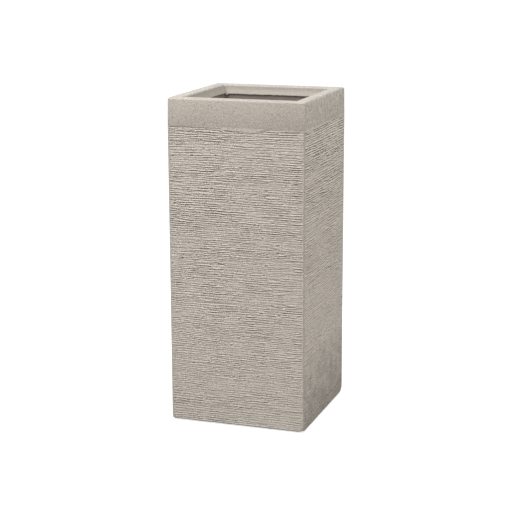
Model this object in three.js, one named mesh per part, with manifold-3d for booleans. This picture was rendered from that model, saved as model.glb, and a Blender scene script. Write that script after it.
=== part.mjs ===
// A tall, square planter of glass-fibre laminate with a combed outside.
// Millimetres, +Z up, the origin on the floor under the middle of the planter. The front faces -Y.
import * as THREE from "three";
import { mergeVertices } from "three/addons/utils/BufferGeometryUtils.js";
import Module from "manifold-3d";

const wasm = await Module();
wasm.setup();

// ---- Driving dimensions, in millimetres ----

const WIDTH = 300; // outside, left to right
const DEPTH = 300; // outside, front to back
const HEIGHT = 704; // floor to the top of the rim
const FLOOR_CLEARANCE = 2; // floor to the shell's lower edge
const CORNER_RADIUS = 3; // the shell's upright edges
const INNER_CORNER_RADIUS = 2; // upright corners of everything inside the shell
const BOND_GAP = 0.3; // between bonded or seated neighbours

// The shell's laminate and its outside finish
const WALL = 5;
const TOP_EDGE_RADIUS = 3;
const BOTTOM_EDGE_RADIUS = 4;
const EDGE_FLAT = 0.5; // least flat left on the wall's upper and lower edges
const BAND_HEIGHT = 61; // smooth band under the top edge
const STRIP_WIDTH = 4; // smooth strip beside each upright edge
const COMB_DEPTH = 0.8; // how far the combed field lies back

// The rim: a channel, open downwards, inside the shell's top
const RIM_WIDTH = 26; // shell's outside to the mouth
const RIM_SHEET = 4;
const RIM_EDGE_RADIUS = 3;
const LIP_DEPTH = 50; // the hanging lip that lines the mouth
const COATED_DEPTH = 22; // how far down the lip the outside's coat reaches
const COAT_ROLL = 2.5; // how far the coat's thick lower edge stands into the mouth
const COAT_ROLL_HEIGHT = 9; // height over which the coat swells to that edge
const LEG_DEPTH = 40; // the leg bonded to the shell's inside

// The tray that closes the bottom
const TRAY_RECESS = 7; // tray's underside above the shell's lower edge
const TRAY_SHEET = 4; // thickness of the upturned edge, and of the floor at the drain
const TRAY_EDGE_HEIGHT = 30; // from the underside
const TRAY_BEND_RADIUS = 6; // outside bend, under the upturned edge
const TRAY_COVE_RADIUS = 8; // inside bend, above the floor
const SUMP_DIAMETER = 190; // the floor falls towards the drain inside this circle
const SUMP_FALL = 3; // from the circle's edge to the drain
const DRAIN_DIAMETER = 25;

// The bead that seals the tray's edge to the shell
const BEAD_HEIGHT = 6;
const BEAD_HOLLOW = 0.6; // the hollow face's middle, as a share of the way down and in

// The drain plug
const PLUG_HEAD_OVERLAP = 7.5; // how far the head lies over the tray round the drain
const PLUG_HEAD_HEIGHT = 4;
const PLUG_HEAD_CHAMFER = 1;
const PLUG_TAPER = 1.2; // how much narrower the shank's lower end is, on the radius
const PLUG_REACH = 4; // shank below the tray's underside
const PLUG_CLEARANCE = 0.3; // round the shank
const NECK_DIAMETER = 9;
const NECK_HEIGHT = 7;
const KNOB_OVERHANG = 5.5; // how far the knob stands out round the neck
const KNOB_HEIGHT = 8;
const SEAT_MARGIN = 4; // flat seat round the plug's head

// The foot pads
const PAD_DIAMETER = 36;
const PAD_INSET = 45; // shell's outside to the pad's middle
const PAD_EDGE_RADIUS = 1.5;

// Fineness of curves
const CORNER_STEPS = 4;
const BEND_STEPS = 4;
const KNOB_STEPS = 8;
const ROUND_STEPS = 40;

// ---- Levels that follow from the sizes ----

const shellBottom = FLOOR_CLEARANCE;
const bandBottom = HEIGHT - BAND_HEIGHT;
const trayUnderside = shellBottom + TRAY_RECESS;
const plugSeat = trayUnderside + TRAY_SHEET;
const trayFloor = plugSeat + SUMP_FALL;
const trayTop = trayUnderside + TRAY_EDGE_HEIGHT;
const drainRadius = DRAIN_DIAMETER / 2;
const plugHeadRadius = drainRadius + PLUG_HEAD_OVERLAP;
const insideShell = WALL + BOND_GAP; // inset at which pieces inside the shell start

// ---- Materials ----

function finish(color, roughness) {
  return new THREE.MeshStandardMaterial({ color, roughness, metalness: 0 });
}

const combedCoat = finish(0xb2aaa0, 0.9);
const smoothCoat = finish(0xb4aca2, 0.85);
const rawLaminate = finish(0x6f675f, 0.6);
const sealant = finish(0x8c857b, 0.7);
const blackRubber = finish(0x26262a, 0.8);

// ---- Helpers ----

// Points of an arc in a section. A section's points are [inset from the shell's outside, height].
function bend(inset, height, radius, fromDegrees, toDegrees) {
  const points = [];
  for (let step = 0; step <= BEND_STEPS; step++) {
    const degrees = THREE.MathUtils.lerp(fromDegrees, toDegrees, step / BEND_STEPS);
    const angle = THREE.MathUtils.degToRad(degrees);
    points.push([inset - radius * Math.cos(angle), height + radius * Math.sin(angle)]);
  }
  return points;
}

// The square ring that a section's point sweeps round the planter, counter-clockwise from above.
function planRing([inset, height]) {
  const halfWidth = WIDTH / 2 - inset;
  const halfDepth = DEPTH / 2 - inset;
  const radius = Math.max(CORNER_RADIUS - inset, INNER_CORNER_RADIUS);
  const ring = [];
  for (let corner = 0; corner < 4; corner++) {
    const sideX = corner === 0 || corner === 3 ? 1 : -1;
    const sideY = corner < 2 ? 1 : -1;
    for (let step = 0; step <= CORNER_STEPS; step++) {
      const angle = (Math.PI / 2) * (corner + step / CORNER_STEPS);
      const x = sideX * (halfWidth - radius) + radius * Math.cos(angle);
      const y = sideY * (halfDepth - radius) + radius * Math.sin(angle);
      ring.push([x, y, height]);
    }
  }
  return ring;
}

// Sweeps a section round the planter. The section runs up the outside and down the inside.
// A hoop joins its last point to its first; otherwise both ends are closed flat.
function sweepRound(section, isHoop) {
  const rings = section.map(planRing);
  const around = rings[0].length;
  const index = [];
  const stretches = isHoop ? rings.length : rings.length - 1;
  for (let lower = 0; lower < stretches; lower++) {
    const upper = (lower + 1) % rings.length;
    for (let side = 0; side < around; side++) {
      const next = (side + 1) % around;
      const [a, b] = [lower * around + side, lower * around + next];
      const [c, d] = [upper * around + next, upper * around + side];
      index.push(a, b, c, a, c, d);
    }
  }
  if (!isHoop) {
    const last = (rings.length - 1) * around;
    for (let side = 1; side < around - 1; side++) {
      index.push(0, side + 1, side);
      index.push(last, last + side, last + side + 1);
    }
  }
  const geometry = new THREE.BufferGeometry();
  geometry.setAttribute("position", new THREE.Float32BufferAttribute(rings.flat(2), 3));
  geometry.setIndex(index);
  return geometry;
}

// Turns a profile of [radius, height] points about the vertical axis.
function turned(profile) {
  const points = profile.map(([radius, height]) => new THREE.Vector2(radius, height));
  return new THREE.LatheGeometry(points, ROUND_STEPS).rotateX(Math.PI / 2);
}

function toSolid(geometry) {
  const bare = geometry.clone();
  bare.deleteAttribute("normal");
  bare.deleteAttribute("uv");
  const merged = mergeVertices(bare);
  const mesh = new wasm.Mesh({
    numProp: 3,
    vertProperties: new Float32Array(merged.attributes.position.array),
    triVerts: new Uint32Array(merged.index.array),
  });
  return new wasm.Manifold(mesh);
}

function toGeometry(solid) {
  const mesh = solid.getMesh();
  const geometry = new THREE.BufferGeometry();
  geometry.setAttribute("position", new THREE.Float32BufferAttribute(mesh.vertProperties, 3));
  geometry.setIndex(new THREE.Uint32BufferAttribute(mesh.triVerts, 1));
  geometry.computeVertexNormals();
  return geometry;
}

function piece(name, geometry, material) {
  const mesh = new THREE.Mesh(geometry, material);
  mesh.name = name;
  return mesh;
}

// ---- Pieces ----

// The four walls in one moulding, open at both ends, with a shallow combed field on each side.
function outerShell() {
  const bottomRadius = Math.min(BOTTOM_EDGE_RADIUS, WALL - EDGE_FLAT);
  const topRadius = Math.min(TOP_EDGE_RADIUS, WALL - EDGE_FLAT);
  const section = [
    [WALL, shellBottom],
    ...bend(bottomRadius, shellBottom + bottomRadius, bottomRadius, -90, 0),
    ...bend(topRadius, HEIGHT - topRadius, topRadius, 0, 90),
    [WALL, HEIGHT],
  ];
  let shell = toSolid(sweepRound(section, true));
  for (let side = 0; side < 4; side++) {
    const [across, through] = side % 2 === 0 ? [WIDTH, DEPTH] : [DEPTH, WIDTH];
    const field = new THREE.BoxGeometry(across - 2 * STRIP_WIDTH, 2 * COMB_DEPTH, bandBottom);
    field.translate(0, -through / 2, bandBottom / 2);
    field.rotateZ((side * Math.PI) / 2);
    shell = shell.subtract(toSolid(field));
  }
  return piece("outer_shell", toGeometry(shell), combedCoat);
}

// The rim: a flat top, a leg bonded inside the shell and a lip that hangs in the mouth. The coat
// comes over the top and part of the way down the lip, where it ends in a thick roll.
function rimChannel() {
  const lipBottom = HEIGHT - LIP_DEPTH;
  const coatBottom = HEIGHT - COATED_DEPTH;
  const underTop = HEIGHT - RIM_SHEET;
  const section = [
    [insideShell, HEIGHT - LEG_DEPTH],
    [insideShell, HEIGHT],
    ...bend(RIM_WIDTH - RIM_EDGE_RADIUS, HEIGHT - RIM_EDGE_RADIUS, RIM_EDGE_RADIUS, 90, 180),
    [RIM_WIDTH, coatBottom + COAT_ROLL_HEIGHT],
    [RIM_WIDTH + COAT_ROLL, coatBottom + COAT_ROLL / 2],
    [RIM_WIDTH + COAT_ROLL / 2, coatBottom],
    [RIM_WIDTH, coatBottom],
    [RIM_WIDTH, lipBottom],
    [RIM_WIDTH - RIM_SHEET, lipBottom],
    [RIM_WIDTH - RIM_SHEET, underTop],
    [insideShell + RIM_SHEET, underTop],
    [insideShell + RIM_SHEET, HEIGHT - LEG_DEPTH],
  ];
  return piece("rim_channel", sweepRound(section, true), smoothCoat);
}

// The bottom: a dished panel whose floor falls towards the drain.
function baseTray() {
  const innerFace = insideShell + TRAY_SHEET;
  const section = [
    ...bend(insideShell + TRAY_BEND_RADIUS, trayUnderside + TRAY_BEND_RADIUS, TRAY_BEND_RADIUS, -90, 0),
    [insideShell, trayTop],
    [innerFace, trayTop],
    ...bend(innerFace + TRAY_COVE_RADIUS, trayFloor + TRAY_COVE_RADIUS, TRAY_COVE_RADIUS, 0, -90),
  ];
  const seatRadius = plugHeadRadius + SEAT_MARGIN;
  const overcut = 1;
  const drain = turned([
    [0, trayUnderside - overcut],
    [drainRadius, trayUnderside - overcut],
    [drainRadius, plugSeat],
    [seatRadius, plugSeat],
    [SUMP_DIAMETER / 2, trayFloor],
    [SUMP_DIAMETER / 2, trayFloor + overcut],
    [0, trayFloor + overcut],
  ]);
  const tray = toSolid(sweepRound(section, false)).subtract(toSolid(drain));
  return piece("base_tray", toGeometry(tray), rawLaminate);
}

// The bead on the tray's upturned edge, with a hollow face that carries water off the joint.
function sealantBead() {
  const seat = trayTop + BOND_GAP;
  const section = [
    [insideShell, seat],
    [insideShell, seat + BEAD_HEIGHT],
    [insideShell + TRAY_SHEET * (1 - BEAD_HOLLOW), seat + BEAD_HEIGHT * (1 - BEAD_HOLLOW)],
    [insideShell + TRAY_SHEET, seat],
  ];
  return piece("sealant_bead", sweepRound(section, true), sealant);
}

// The rubber plug, pulled up by its knob. Its head lies on the flat seat round the drain.
function drainPlug() {
  const headBottom = plugSeat + BOND_GAP;
  const headTop = headBottom + PLUG_HEAD_HEIGHT;
  const knobBottom = headTop + NECK_HEIGHT;
  const shankRadius = drainRadius - PLUG_CLEARANCE;
  const neckRadius = NECK_DIAMETER / 2;
  const knobRadius = neckRadius + KNOB_OVERHANG;
  const neckAngle = -Math.acos(neckRadius / knobRadius);
  const knob = [];
  for (let step = 0; step <= KNOB_STEPS; step++) {
    const angle = THREE.MathUtils.lerp(neckAngle, Math.PI / 2, step / KNOB_STEPS);
    const rise = Math.sin(angle) - Math.sin(neckAngle);
    knob.push([knobRadius * Math.cos(angle), knobBottom + (KNOB_HEIGHT / 2) * rise]);
  }
  const profile = [
    [0, trayUnderside - PLUG_REACH],
    [shankRadius - PLUG_TAPER, trayUnderside - PLUG_REACH],
    [shankRadius, headBottom],
    [plugHeadRadius, headBottom],
    [plugHeadRadius, headTop - PLUG_HEAD_CHAMFER],
    [plugHeadRadius - PLUG_HEAD_CHAMFER, headTop],
    [neckRadius, headTop],
    ...knob,
  ];
  return piece("drain_plug", turned(profile), blackRubber);
}

// One rubber pad under each corner of the tray.
function footPads() {
  const top = trayUnderside - BOND_GAP;
  const radius = PAD_DIAMETER / 2;
  const edge = radius - PAD_EDGE_RADIUS;
  const profile = [[0, 0], [edge, 0], [radius, PAD_EDGE_RADIUS], [radius, top], [0, top]];
  const pads = [];
  for (const [depthName, y] of [["front", -1], ["back", 1]]) {
    for (const [widthName, x] of [["left", -1], ["right", 1]]) {
      const pad = piece(`foot_pad_${depthName}_${widthName}`, turned(profile), blackRubber);
      pad.position.set(x * (WIDTH / 2 - PAD_INSET), y * (DEPTH / 2 - PAD_INSET), 0);
      pads.push(pad);
    }
  }
  return pads;
}

const planter = new THREE.Group();
planter.add(outerShell(), rimChannel(), baseTray(), sealantBead(), drainPlug(), ...footPads());

export default planter;
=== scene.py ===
"""The looks of a tall, square glass-fibre planter with combed walls.

Metres, +Z up. The front faces -Y, and +X is on the right seen from the front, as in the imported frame
that every piece here is built round.
"""

import logging
import math
from collections.abc import Iterator, Sequence
from contextlib import contextmanager
from dataclasses import dataclass, field
from enum import Enum
from itertools import pairwise

import bpy
import numpy as np
from mathutils import Matrix, Vector


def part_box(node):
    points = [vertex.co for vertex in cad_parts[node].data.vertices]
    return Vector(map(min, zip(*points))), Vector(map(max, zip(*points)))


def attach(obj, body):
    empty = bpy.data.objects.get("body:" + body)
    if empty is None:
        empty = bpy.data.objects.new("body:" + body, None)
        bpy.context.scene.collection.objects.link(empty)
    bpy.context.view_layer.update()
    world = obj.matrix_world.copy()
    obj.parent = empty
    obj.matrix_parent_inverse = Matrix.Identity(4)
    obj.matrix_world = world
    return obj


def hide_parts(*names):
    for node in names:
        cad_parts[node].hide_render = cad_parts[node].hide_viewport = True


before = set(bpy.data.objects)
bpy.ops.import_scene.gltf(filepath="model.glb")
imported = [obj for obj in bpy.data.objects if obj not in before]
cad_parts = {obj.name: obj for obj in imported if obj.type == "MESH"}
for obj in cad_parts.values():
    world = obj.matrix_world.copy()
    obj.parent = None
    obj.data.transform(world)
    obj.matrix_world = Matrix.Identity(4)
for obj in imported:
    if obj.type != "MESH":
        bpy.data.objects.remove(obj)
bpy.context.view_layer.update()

MM = 0.001
NEAR = 0.1 * MM
COMB_ATTRIBUTE = "comb_shade_and_wear"
Color = tuple[float, float, float]
Point = tuple[float, float]
log = logging.getLogger("planter")


class Body(Enum):
    """The bodies that pieces ride on."""

    PLANTER = "planter"
    PLUG = "plug"


class Slot(Enum):
    """The record's material slots."""

    COMBED = "combed_coat"
    SMOOTH = "smooth_coat"
    LAMINATE = "raw_laminate"
    SEALANT = "sealant"
    RUBBER = "black_rubber"


class Domain(Enum):
    """What a selection picks, as Blender's select modes."""

    VERTICES = (True, False, False)
    EDGES = (False, True, False)
    FACES = (False, False, True)


class Side(Enum):
    """The four walls, as quarter turns from the front, counter-clockwise from above."""

    FRONT = 0
    RIGHT = 1
    BACK = 2
    LEFT = 3

    @property
    def turn(self) -> float:
        """Angle about +Z from the front wall, in radians."""
        return self.value * math.pi / 2


# ---- Hand tools ----


def hold(piece: bpy.types.Object) -> None:
    """Selects one object alone and makes it active.

    Args:
        piece: The object to work on.
    """
    bpy.ops.object.select_all(action="DESELECT")
    piece.select_set(True)
    bpy.context.view_layer.objects.active = piece


def adopt(name: str) -> bpy.types.Object:
    """Names the new active object and puts its place into its mesh.

    Args:
        name: The piece's name.

    Returns:
        The piece, at the origin, unturned and unscaled.
    """
    piece = bpy.context.view_layer.objects.active
    piece.name = name
    piece.data.name = name
    hold(piece)
    bpy.ops.object.transform_apply(location=True, rotation=True, scale=True)
    return piece


@contextmanager
def shaping(piece: bpy.types.Object, domain: Domain, chosen: np.ndarray | None = None) -> Iterator[None]:
    """Opens edit mode on a piece with some of its elements selected.

    Args:
        piece: The piece to shape.
        domain: What is selected.
        chosen: A mask over the domain's elements; all of them without it.
    """
    hold(piece)
    mesh = piece.data
    layers = {Domain.VERTICES: mesh.vertices, Domain.EDGES: mesh.edges, Domain.FACES: mesh.polygons}
    for kind, elements in layers.items():
        mask = np.zeros(len(elements), bool)
        if kind is domain:
            mask = np.ones(len(elements), bool) if chosen is None else chosen
        elements.foreach_set("select", mask)
    bpy.context.tool_settings.mesh_select_mode = domain.value
    bpy.ops.object.mode_set(mode="EDIT")
    yield
    bpy.ops.object.mode_set(mode="OBJECT")


def places(piece: bpy.types.Object) -> np.ndarray:
    """Gives a piece's vertices as rows of x, y, z."""
    spots = np.empty(len(piece.data.vertices) * 3)
    piece.data.vertices.foreach_get("co", spots)
    return spots.reshape(-1, 3)


def edge_ends(piece: bpy.types.Object) -> np.ndarray:
    """Gives each edge's two vertex numbers."""
    ends = np.empty(len(piece.data.edges) * 2, int)
    piece.data.edges.foreach_get("vertices", ends)
    return ends.reshape(-1, 2)


def edge_runs(piece: bpy.types.Object) -> np.ndarray:
    """Gives each edge's extent along x, y and z."""
    ends = places(piece)[edge_ends(piece)]
    return np.abs(ends[:, 1] - ends[:, 0])


def face_values(piece: bpy.types.Object, value: str) -> np.ndarray:
    """Gives each face's "center" or "normal" as a row of x, y, z."""
    rows = np.empty(len(piece.data.polygons) * 3)
    piece.data.polygons.foreach_get(value, rows)
    return rows.reshape(-1, 3)


def join_loops(piece: bpy.types.Object, one: np.ndarray, other: np.ndarray, is_flat: bool) -> None:
    """Joins two open loops of a piece with faces.

    Args:
        piece: The piece that holds both loops.
        one: The first loop's vertices, as a mask.
        other: The second loop's vertices, as a mask.
        is_flat: Whether one loop lies inside the other at one height, with flat space between them.
    """
    ends = edge_ends(piece)
    with shaping(piece, Domain.EDGES, one[ends].all(axis=1) | other[ends].all(axis=1)):
        if is_flat:
            bpy.ops.mesh.fill(use_beauty=True)
        else:
            bpy.ops.mesh.bridge_edge_loops()


def subdivide(piece: bpy.types.Object, edges: np.ndarray, cuts: int) -> None:
    """Cuts the chosen edges into equal lengths, and the faces between them.

    Args:
        piece: The piece to cut.
        edges: A mask over its edges.
        cuts: Cuts in each edge.
    """
    with shaping(piece, Domain.EDGES, edges):
        bpy.ops.mesh.subdivide(number_cuts=cuts)


def close_up(piece: bpy.types.Object, tolerance: float = 0.01 * MM) -> None:
    """Merges doubled vertices and turns all faces outwards.

    Args:
        piece: The piece to mend.
        tolerance: The greatest distance between doubles.
    """
    with shaping(piece, Domain.VERTICES):
        bpy.ops.mesh.remove_doubles(threshold=tolerance)
        bpy.ops.mesh.normals_make_consistent(inside=False)


def press(piece: bpy.types.Object, weights: np.ndarray, depth: float, direction: str = "NORMAL") -> None:
    """Pushes a piece's surface in by painted amounts.

    Args:
        piece: The piece to shape.
        weights: How far each vertex goes, from 0 to 1.
        depth: How far a weight of 1 goes: against the normal, or down an axis.
        direction: "NORMAL", "X", "Y" or "Z".
    """
    levels = 4096
    group = piece.vertex_groups.new(name="pressed")
    steps = np.round(np.clip(weights, 0, 1) * levels).astype(int)
    order = np.argsort(steps, kind="stable")
    starts = np.flatnonzero(np.diff(steps[order], prepend=-1))
    for first, last in pairwise([*starts.tolist(), len(order)]):
        level = int(steps[order[first]])
        if level:
            group.add(order[first:last].tolist(), level / levels, "REPLACE")
    hold(piece)
    modifier = piece.modifiers.new("press", "DISPLACE")
    modifier.direction = direction
    modifier.strength = -depth
    modifier.mid_level = 0
    modifier.vertex_group = group.name
    bpy.ops.object.modifier_apply(modifier=modifier.name)
    piece.vertex_groups.clear()


def smooth(piece: bpy.types.Object, degrees: float = 35) -> None:
    """Shades a piece smooth wherever its faces meet at less than an angle."""
    hold(piece)
    bpy.ops.object.shade_smooth_by_angle(angle=math.radians(degrees))


def finish_piece(
    piece: bpy.types.Object,
    materials: Sequence[bpy.types.Material],
    body: Body,
    replaced: Sequence[str],
) -> None:
    """Gives a piece its materials and its place in the frame.

    Args:
        piece: The finished mesh object.
        materials: Its materials, in the order of its faces' numbers.
        body: The body that it rides on.
        replaced: The CAD nodes that it stands for.
    """
    for material in materials:
        piece.data.materials.append(material)
    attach(piece, body.value)
    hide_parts(*replaced)
    log.info("%s: %d faces, for %s", piece.name, len(piece.data.polygons), ", ".join(replaced))


def arc(middle: Point, radius: float, start: float, end: float, steps: int) -> list[Point]:
    """Works out the points of an arc in a section.

    Args:
        middle: Inset and height of the arc's centre.
        radius: The arc's radius.
        start: First angle in degrees: 0 points outwards and 90 up.
        end: Last angle in degrees.
        steps: Equal steps along the arc.

    Returns:
        Points of inset and height, both ends included.
    """
    angles = np.radians(np.linspace(start, end, steps + 1))
    return [(middle[0] - radius * math.cos(a), middle[1] + radius * math.sin(a)) for a in angles]


def line(start: Point, end: Point, steps: int) -> list[Point]:
    """Works out equally spaced points of a straight stretch, without its first one."""
    return [tuple(p) for p in np.linspace(start, end, steps + 1)[1:]]


def drift(rng: np.random.Generator, shape: tuple[int, int], cells: tuple[int, int]) -> np.ndarray:
    """Makes smooth random values over a grid.

    Args:
        rng: The seeded source.
        shape: Rows and columns of the grid.
        cells: How many times the values may turn along each.

    Returns:
        Values from -1 to 1.
    """
    lattice = rng.uniform(-1, 1, (cells[0] + 2, cells[1] + 2))
    along = []
    for count, turns in zip(shape, cells):
        position = np.linspace(0, turns, count)
        lower = np.floor(position).astype(int)
        share = position - lower
        along.append((lower, share * share * (3 - 2 * share)))
    (row, down), (column, across) = along
    down = down[:, None]
    upper = lattice[row][:, column] * (1 - across) + lattice[row][:, column + 1] * across
    lower = lattice[row + 1][:, column] * (1 - across) + lattice[row + 1][:, column + 1] * across
    return upper * (1 - down) + lower * down


def ease(value: np.ndarray | float, start: float, end: float) -> np.ndarray:
    """Rises smoothly from 0 at start to 1 at end."""
    share = np.clip((np.asarray(value) - start) / (end - start), 0, 1)
    return share * share * (3 - 2 * share)


def insets(spots: np.ndarray, half: float) -> np.ndarray:
    """Gives how far inside a square of half a width each place is."""
    return half - np.abs(spots[:, :2]).max(axis=1)


def way_round(spots: np.ndarray) -> np.ndarray:
    """Gives how far round the planter each place is, from 0 to 1."""
    return np.arctan2(spots[:, 1], spots[:, 0]) / (2 * math.pi) + 0.5


def wander(spots: np.ndarray, seed: int, *turns: int) -> np.ndarray:
    """Makes smooth random values round the planter.

    Args:
        spots: The places that need a value.
        seed: The number that the values follow from.
        *turns: How often the values may turn on the way round, from broad to fine.

    Returns:
        A value from 0 to 1 for each place.
    """
    rng = np.random.default_rng(seed)
    steps = 4000
    waves = sum(drift(rng, (steps, 1), (count, 1))[:, 0] for count in turns) / len(turns)
    return 0.5 + 0.5 * waves[np.clip((way_round(spots) * (steps - 1)).astype(int), 0, steps - 1)]


@dataclass(frozen=True)
class Plan:
    """The square plan that sections are swept round.

    Attributes:
        half: Half the outside width.
        corner_radius: Radius of the outside corners.
        corner_steps: Faces round each corner.
    """

    half: float
    corner_radius: float
    corner_steps: int

    @property
    def around(self) -> int:
        """How many vertices a loop has."""
        return 4 * (self.corner_steps + 1)

    def outline(self, name: str, inset: float, height: float) -> bpy.types.Object:
        """Draws the rounded square at one inset and height, as a loop of edges."""
        bpy.ops.object.select_all(action="DESELECT")
        bpy.ops.mesh.primitive_plane_add(size=2 * self.half, location=(0, 0, height))
        piece = adopt(name)
        scale = 1 - inset / self.half
        with shaping(piece, Domain.VERTICES):
            bpy.ops.mesh.bevel(offset=self.corner_radius, segments=self.corner_steps, affect="VERTICES")
            bpy.ops.transform.resize(value=(scale, scale, 1), center_override=(0, 0, height))
            bpy.ops.mesh.delete(type="ONLY_FACE")
        return piece

    def sweep(self, name: str, section: Sequence[Point], is_hoop: bool) -> bpy.types.Object:
        """Sweeps a section round the square.

        Args:
            name: The piece's name.
            section: Points of inset and height.
            is_hoop: Whether the last point joins the first.

        Returns:
            The swept piece, whose first vertices are the first point's loop.
        """
        piece = self.outline(name, *section[0])
        with shaping(piece, Domain.VERTICES):
            for (inset, height), (next_inset, next_height) in pairwise(section):
                rise = {"value": (0, 0, next_height - height)}
                scale = (self.half - next_inset) / (self.half - inset)
                bpy.ops.mesh.extrude_edges_move(TRANSFORM_OT_translate=rise)
                bpy.ops.transform.resize(value=(scale, scale, 1), center_override=(0, 0, next_height))
        if is_hoop:
            order = np.arange(len(piece.data.vertices))
            join_loops(piece, order < self.around, order >= len(order) - self.around, is_flat=False)
            close_up(piece)
        return piece


def turned(name: str, profile: Sequence[Point], steps: int) -> bpy.types.Object:
    """Turns a profile about the vertical axis.

    Args:
        name: The piece's name.
        profile: Points of radius and height, from the axis to the axis.
        steps: Faces round the axis.

    Returns:
        The closed piece, standing on the axis.
    """
    bpy.ops.object.select_all(action="DESELECT")
    bpy.ops.mesh.primitive_plane_add(size=MM, location=(profile[0][0], 0, profile[0][1]))
    piece = adopt(name)
    with shaping(piece, Domain.VERTICES):
        bpy.ops.mesh.merge(type="CENTER")
        for (radius, height), (next_radius, next_height) in pairwise(profile):
            step = {"value": (next_radius - radius, 0, next_height - height)}
            bpy.ops.mesh.extrude_region_move(TRANSFORM_OT_translate=step)
        bpy.ops.mesh.select_all(action="SELECT")
        bpy.ops.mesh.spin(steps=steps, angle=2 * math.pi, center=(0, 0, 0), axis=(0, 0, 1))
    close_up(piece)
    return piece


# ---- Finishes ----


class Wiring:
    """Adds nodes to a tree and wires them up."""

    def __init__(self, tree: bpy.types.NodeTree) -> None:
        """Starts on a tree."""
        self.tree = tree

    def add(self, kind: str, inputs: dict | None = None, **settings: object) -> bpy.types.Node:
        """Adds a node.

        Args:
            kind: The node's type.
            inputs: Values or sockets by input name or number.
            **settings: The node's own settings.

        Returns:
            The node.
        """
        node = self.tree.nodes.new(kind)
        for name, value in settings.items():
            setattr(node, name, value)
        for key, value in (inputs or {}).items():
            if isinstance(value, bpy.types.NodeSocket):
                self.tree.links.new(value, node.inputs[key])
            else:
                node.inputs[key].default_value = value
        return node

    def math(self, operation: str, *values: object) -> bpy.types.NodeSocket:
        """Works out one number from others."""
        return self.add("ShaderNodeMath", dict(enumerate(values)), operation=operation).outputs[0]

    def span(self, value: object, low: float, high: float, out: Point = (0, 1)) -> bpy.types.NodeSocket:
        """Maps low to high smoothly onto the two output values."""
        inputs = {"Value": value, "From Min": low, "From Max": high, "To Min": out[0], "To Max": out[1]}
        return self.add("ShaderNodeMapRange", inputs, interpolation_type="SMOOTHSTEP").outputs[0]

    def noise(self, place: object, scale: object, detail: float) -> bpy.types.NodeSocket:
        """Adds noise from 0 to 1 on a place."""
        inputs = {"Vector": place, "Scale": scale, "Detail": detail}
        return self.add("ShaderNodeTexNoise", inputs).outputs[0]

    def relief(self, height: object, distance: float) -> bpy.types.NodeSocket:
        """Gives the normal of a surface that stands out by a distance where the height is 1."""
        inputs = {"Height": height, "Distance": distance, "Strength": 1.0}
        return self.add("ShaderNodeBump", inputs).outputs[0]

    def blend(self, amount: object, one: object, other: object) -> bpy.types.NodeSocket:
        """Blends two colours."""
        node = self.add("ShaderNodeMix", data_type="RGBA", clamp_factor=True)
        for key, value in ((0, amount), (6, one), (7, other)):
            if isinstance(value, bpy.types.NodeSocket):
                self.tree.links.new(value, node.inputs[key])
            else:
                node.inputs[key].default_value = value if key == 0 else (*value, 1)
        return node.outputs[2]

    def shade(self, color: object, tone: object) -> bpy.types.NodeSocket:
        """Makes a colour lighter or darker by a share of itself."""
        lit = self.math("ADD", tone, 1)
        return self.add("ShaderNodeVectorMath", {0: color, 3: lit}, operation="SCALE").outputs[0]


class Effect:
    """A shared surface effect: a node group that is built once."""

    name = "effect"
    inputs: dict[str, str] = {}
    outputs: tuple[str, ...] = ()

    @classmethod
    def group(cls) -> bpy.types.NodeTree:
        """Gives the effect's node group, building it the first time."""
        tree = bpy.data.node_groups.get(cls.name)
        if tree is None:
            tree = bpy.data.node_groups.new(cls.name, "ShaderNodeTree")
            for socket, kind in cls.inputs.items():
                tree.interface.new_socket(socket, in_out="INPUT", socket_type=f"NodeSocket{kind}")
            for socket in cls.outputs:
                tree.interface.new_socket(socket, in_out="OUTPUT", socket_type="NodeSocketFloat")
            wiring = Wiring(tree)
            given = wiring.add("NodeGroupInput").outputs
            wiring.add("NodeGroupOutput", cls.wire(wiring, given))
        return tree

    @classmethod
    def wire(cls, wiring: Wiring, given: bpy.types.bpy_prop_collection) -> dict[str, bpy.types.NodeSocket]:
        """Wires the effect and gives its outputs."""
        raise NotImplementedError

    @classmethod
    def place(cls, wiring: Wiring, **values: object) -> bpy.types.bpy_prop_collection:
        """Places the effect in a material.

        Args:
            wiring: The material's wiring.
            **values: Its inputs, with _ for a space in their names.

        Returns:
            The effect's outputs.
        """
        inputs = {name.replace("_", " "): value for name, value in values.items()}
        return wiring.add("ShaderNodeGroup", inputs, node_tree=cls.group()).outputs


class SandGrain(Effect):
    """Sand in the coat: a rough height, a speckled tone and sparse pinholes."""

    name = "sand_grain"
    inputs = {"Place": "Vector", "Size": "Float"}
    outputs = ("Height", "Tone", "Pinhole")

    @classmethod
    def wire(cls, wiring: Wiring, given: bpy.types.bpy_prop_collection) -> dict[str, bpy.types.NodeSocket]:
        """Wires the effect and gives its outputs."""
        fine_scale = wiring.math("DIVIDE", 1, given["Size"])
        coarse_scale = wiring.math("MULTIPLY", fine_scale, 0.45)
        fine = wiring.noise(given["Place"], fine_scale, 3)
        coarse = wiring.noise(given["Place"], coarse_scale, 2)
        hole_scale = wiring.math("MULTIPLY", fine_scale, 0.16)
        cells = wiring.add("ShaderNodeTexVoronoi", {"Vector": given["Place"], "Scale": hole_scale})
        pinhole = wiring.span(cells.outputs["Distance"], 0.07, 0.16, (1, 0))
        grit = wiring.math("ADD", fine, wiring.math("MULTIPLY", coarse, 0.8))
        height = wiring.math("SUBTRACT", grit, pinhole)
        tone = wiring.math("SUBTRACT", grit, 0.9)
        return {"Height": height, "Tone": tone, "Pinhole": pinhole}


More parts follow.
